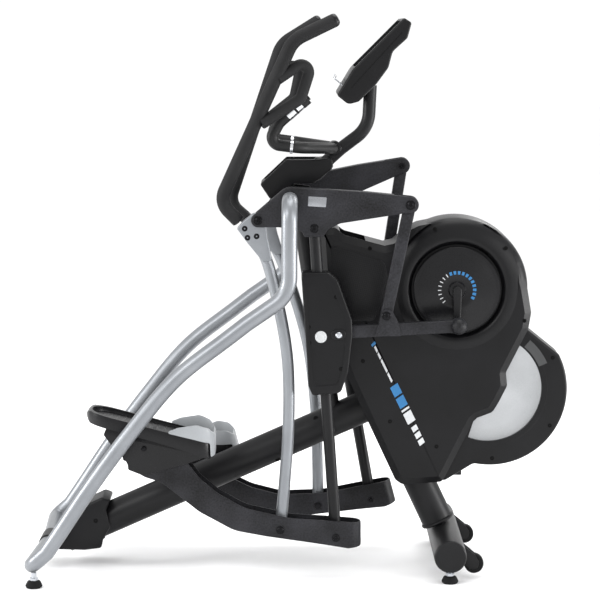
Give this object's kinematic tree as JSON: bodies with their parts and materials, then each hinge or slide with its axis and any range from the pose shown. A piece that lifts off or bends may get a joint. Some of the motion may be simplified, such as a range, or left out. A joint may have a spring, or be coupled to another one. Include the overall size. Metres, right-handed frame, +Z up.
{
  "type": "elliptical trainer",
  "caption": "Front-flywheel elliptical trainer with curved silver side rails, rockers, swinging handles, hanging foot arms and a tilted console.",
  "frame": {"origin": "on the floor, under the middle of the machine", "axes": "+X towards the flywheel end, +Y to the user's left, +Z up"},
  "size_m": [1.5744, 0.713, 1.6295],
  "materials": {
    "black_powder_coat": "fine textured powder coat",
    "silver_powder_coat": "satin metallic powder coat",
    "housing_plastic": "satin moulded ABS",
    "trim_plastic": "smooth moulded plastic",
    "toe_guard_grey": "grey moulded plastic",
    "grip_foam": "closed-cell foam",
    "foot_rubber": "moulded rubber",
    "bright_steel": "turned and zinc plated",
    "belt_rubber": "ribbed belt"
  },
  "bodies": {
    "frame": {"spine_tube": "black_powder_coat", "front_leg": "black_powder_coat", "front_stabiliser": "black_powder_coat", "centre_post": "black_powder_coat", "rocker_shaft": "bright_steel", "rear_cover": "housing_plastic", "mast": "black_powder_coat", "pulse_bar": "foot_rubber", "console": "trim_plastic", "accessory_tray": "trim_plastic", "power_inlet": "trim_plastic", "right_housing": "housing_plastic", "left_housing": "housing_plastic", "magnet_bracket": "bright_steel", "drive_belt": "belt_rubber", "front_right_foot": "foot_rubber", "rear_right_foot": "foot_rubber", "right_rail": "silver_powder_coat", "front_left_foot": "foot_rubber", "rear_left_foot": "foot_rubber", "left_rail": "silver_powder_coat"},
    "crank": {"crank_axle": "bright_steel", "drive_pulley": "trim_plastic", "right_crank_disc": "trim_plastic", "right_crank_arm": "black_powder_coat", "left_crank_disc": "trim_plastic", "left_crank_arm": "black_powder_coat"},
    "flywheel": {"flywheel": "bright_steel"},
    "right_rocker": {"right_rocker": "black_powder_coat"},
    "right_rear_pin": {"right_rear_pin": "bright_steel"},
    "right_mid_pin": {"right_mid_pin": "bright_steel"},
    "right_front_pin": {"right_front_pin": "bright_steel"},
    "right_link_pin": {"right_link_pin": "bright_steel"},
    "right_foot_pin": {"right_foot_pin": "bright_steel"},
    "right_link": {"right_link": "black_powder_coat"},
    "right_drive_bar": {"right_drive_bar": "black_powder_coat"},
    "right_pendulum": {"right_pendulum": "black_powder_coat", "right_joint_cover": "trim_plastic"},
    "right_swing_arm": {"right_swing_arm": "silver_powder_coat", "right_handle": "grip_foam"},
    "right_foot_arm": {"right_foot_arm": "black_powder_coat", "right_footplate": "trim_plastic", "right_toe_guard": "toe_guard_grey"},
    "right_transport_wheel": {"right_transport_wheel": "foot_rubber"},
    "left_rocker": {"left_rocker": "black_powder_coat"},
    "left_rear_pin": {"left_rear_pin": "bright_steel"},
    "left_mid_pin": {"left_mid_pin": "bright_steel"},
    "left_front_pin": {"left_front_pin": "bright_steel"},
    "left_link_pin": {"left_link_pin": "bright_steel"},
    "left_foot_pin": {"left_foot_pin": "bright_steel"},
    "left_link": {"left_link": "black_powder_coat"},
    "left_drive_bar": {"left_drive_bar": "black_powder_coat"},
    "left_pendulum": {"left_pendulum": "black_powder_coat", "left_joint_cover": "trim_plastic"},
    "left_swing_arm": {"left_swing_arm": "silver_powder_coat", "left_handle": "grip_foam"},
    "left_foot_arm": {"left_foot_arm": "black_powder_coat", "left_footplate": "trim_plastic", "left_toe_guard": "toe_guard_grey"},
    "left_transport_wheel": {"left_transport_wheel": "foot_rubber"}
  },
  "joints": [
    {"name": "crank_spin", "type": "hinge", "parent": "frame", "child": "crank", "pos_m": [0.45822, 0, 0.834], "axis": [0, -1, 0], "continuous": true},
    {"name": "flywheel_spin", "type": "hinge", "parent": "frame", "child": "flywheel", "pos_m": [0.55522, 0, 0.538], "axis": [0, -1, 0], "continuous": true},
    {"name": "right_lift", "type": "hinge", "parent": "frame", "child": "right_rocker", "pos_m": [-0.02778, -0.185, 1.105], "axis": [0, -1, 0], "range_deg": [0, 14.8]},
    {"name": "right_rear_rise", "type": "slide", "parent": "frame", "child": "right_rear_pin", "axis": [0.6476, 0, -0.762], "range_m": [0, 0.02804]},
    {"name": "right_mid_rise", "type": "slide", "parent": "frame", "child": "right_mid_pin", "axis": [0.6706, 0, 0.7418], "range_m": [0, 0.02787]},
    {"name": "right_front_rise", "type": "slide", "parent": "frame", "child": "right_front_pin", "axis": [-0.0855, 0, 0.9963], "range_m": [0, 0.0888]},
    {"name": "right_stride", "type": "hinge", "parent": "right_mid_pin", "child": "right_pendulum", "pos_m": [0.04222, -0.185, 1.023], "axis": [0, -1, 0], "range_deg": [-13, 17]},
    {"name": "right_handle_swing", "type": "hinge", "parent": "right_rear_pin", "child": "right_swing_arm", "pos_m": [-0.11878, -0.185, 1.046], "axis": [0, -1, 0], "range_deg": [-13.05, 17.05]},
    {"name": "right_link_swing", "type": "hinge", "parent": "right_front_pin", "child": "right_link", "pos_m": [0.31622, -0.185, 1.09], "axis": [0, -1, 0], "range_deg": [-12.66, 16.54]},
    {"name": "right_link_level", "type": "hinge", "parent": "right_link", "child": "right_link_pin", "pos_m": [0.24922, -0.185, 0.771], "axis": [0, -1, 0], "range_deg": [-22.15, 16.95]},
    {"name": "right_bar_tilt", "type": "hinge", "parent": "right_link_pin", "child": "right_drive_bar", "pos_m": [0.24922, -0.185, 0.771], "axis": [0, -1, 0], "range_deg": [0, 28.61]},
    {"name": "right_foot_level", "type": "hinge", "parent": "right_pendulum", "child": "right_foot_pin", "pos_m": [0.10522, -0.185, 0.125], "axis": [0, -1, 0], "range_deg": [-17.05, 13.05]},
    {"name": "right_foot_tilt", "type": "hinge", "parent": "right_foot_pin", "child": "right_foot_arm", "pos_m": [0.10522, -0.185, 0.125], "axis": [0, -1, 0], "range_deg": [0, 14.85]},
    {"name": "right_wheel_spin", "type": "hinge", "parent": "frame", "child": "right_transport_wheel", "pos_m": [0.50722, -0.19, 0.044], "axis": [0, -1, 0], "continuous": true},
    {"name": "left_lift", "type": "hinge", "parent": "frame", "child": "left_rocker", "pos_m": [-0.02778, 0.185, 1.105], "axis": [0, -1, 0], "range_deg": [-14.85, 0]},
    {"name": "left_rear_rise", "type": "slide", "parent": "frame", "child": "left_rear_pin", "axis": [-0.6488, 0, 0.761], "range_m": [0, 0.02804]},
    {"name": "left_mid_rise", "type": "slide", "parent": "frame", "child": "left_mid_pin", "axis": [-0.6694, 0, -0.7429], "range_m": [0, 0.02787]},
    {"name": "left_front_rise", "type": "slide", "parent": "frame", "child": "left_front_pin", "axis": [0.0871, 0, -0.9962], "range_m": [0, 0.08879]},
    {"name": "left_stride", "type": "hinge", "parent": "left_mid_pin", "child": "left_pendulum", "pos_m": [0.06094, 0.185, 1.04375], "axis": [0, -1, 0], "range_deg": [-17.05, 13.05]},
    {"name": "left_handle_swing", "type": "hinge", "parent": "left_rear_pin", "child": "left_swing_arm", "pos_m": [-0.10056, 0.185, 1.02459], "axis": [0, -1, 0], "range_deg": [-17.05, 13.05]},
    {"name": "left_link_swing", "type": "hinge", "parent": "left_front_pin", "child": "left_link", "pos_m": [0.30851, 0.185, 1.17892], "axis": [0, -1, 0], "range_deg": [-16.54, 12.66]},
    {"name": "left_link_level", "type": "hinge", "parent": "left_link", "child": "left_link_pin", "pos_m": [0.25954, 0.185, 0.85666], "axis": [0, -1, 0], "range_deg": [-16.95, 22.15]},
    {"name": "left_bar_tilt", "type": "hinge", "parent": "left_link_pin", "child": "left_drive_bar", "pos_m": [0.25954, 0.185, 0.85666], "axis": [0, -1, 0], "range_deg": [-28.61, 0]},
    {"name": "left_foot_level", "type": "hinge", "parent": "left_pendulum", "child": "left_foot_pin", "pos_m": [0.21777, 0.185, 0.15731], "axis": [0, -1, 0], "range_deg": [-13.05, 17.05]},
    {"name": "left_foot_tilt", "type": "hinge", "parent": "left_foot_pin", "child": "left_foot_arm", "pos_m": [0.21777, 0.185, 0.15731], "axis": [0, -1, 0], "range_deg": [-14.85, 0]},
    {"name": "left_wheel_spin", "type": "hinge", "parent": "frame", "child": "left_transport_wheel", "pos_m": [0.50722, 0.19, 0.044], "axis": [0, -1, 0], "continuous": true}
  ],
  "couplings": [
    {"joint": "flywheel_spin", "follows": "crank_spin", "ratio": 5},
    {"joint": "right_rear_rise", "follows": "right_lift", "m_per_rad": 0.10815},
    {"joint": "right_mid_rise", "follows": "right_lift", "m_per_rad": 0.10751},
    {"joint": "right_front_rise", "follows": "right_lift", "m_per_rad": 0.34337},
    {"joint": "right_handle_swing", "follows": "right_stride", "ratio": 1},
    {"joint": "right_link_swing", "follows": "right_stride", "ratio": 0.97},
    {"joint": "right_link_level", "follows": "right_stride", "ratio": -1.3},
    {"joint": "right_bar_tilt", "follows": "right_lift", "ratio": 1.93},
    {"joint": "right_foot_level", "follows": "right_stride", "ratio": -1},
    {"joint": "right_foot_tilt", "follows": "right_lift", "ratio": 1},
    {"joint": "left_lift", "follows": "right_lift", "ratio": -1},
    {"joint": "left_rear_rise", "follows": "right_lift", "m_per_rad": 0.10816},
    {"joint": "left_mid_rise", "follows": "right_lift", "m_per_rad": 0.10751},
    {"joint": "left_front_rise", "follows": "right_lift", "m_per_rad": 0.34336},
    {"joint": "left_stride", "follows": "right_stride", "ratio": -1},
    {"joint": "left_handle_swing", "follows": "right_stride", "ratio": -1},
    {"joint": "left_link_swing", "follows": "right_stride", "ratio": -0.97},
    {"joint": "left_link_level", "follows": "right_stride", "ratio": 1.3},
    {"joint": "left_bar_tilt", "follows": "right_lift", "ratio": -1.93},
    {"joint": "left_foot_level", "follows": "right_stride", "ratio": 1},
    {"joint": "left_foot_tilt", "follows": "right_lift", "ratio": -1}
  ]
}
